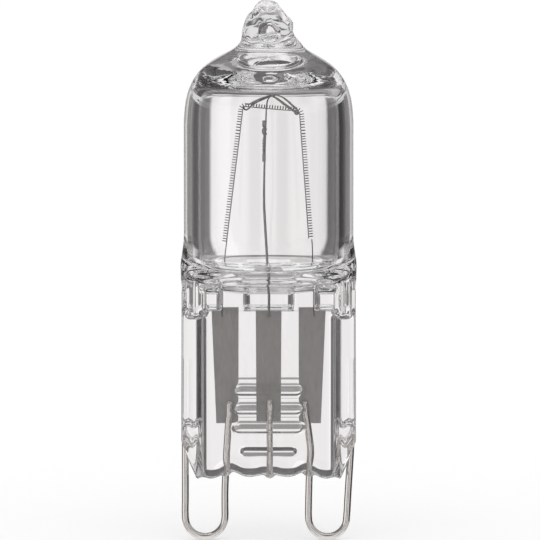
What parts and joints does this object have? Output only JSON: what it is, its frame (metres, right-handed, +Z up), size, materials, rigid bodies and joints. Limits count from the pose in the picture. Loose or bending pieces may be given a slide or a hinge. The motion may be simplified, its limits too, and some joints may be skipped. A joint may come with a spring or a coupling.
{
  "type": "halogen capsule bulb",
  "caption": "Clear quartz halogen capsule with a domed tube, a flat pinched seal and wire loops that plug into a holder.",
  "frame": {"origin": "midway between the two wire loops, level with their lowest point", "axes": "+Z up the lamp axis from the loops to the exhaust tip, +X along the width of the flat seal, -Y the front"},
  "size_m": [0.014, 0.0136, 0.043],
  "materials": {
    "quartz": "clear fire-polished quartz",
    "foil": "matt grey rolled foil",
    "pin_wire": "bright drawn wire",
    "tungsten": "dark grey coiled wire",
    "support_wire": "dark grey drawn wire"
  },
  "bodies": {
    "root": {"quartz_envelope": "quartz", "foil_left": "foil", "foil_centre": "foil", "foil_right": "foil", "pin_loop_left": "pin_wire", "pin_loop_right": "pin_wire", "centre_stub": "pin_wire", "filament": "tungsten", "support_stem": "support_wire", "stem_splice": "support_wire", "hook_left": "support_wire", "hook_right": "support_wire"}
  },
  "joints": []
}
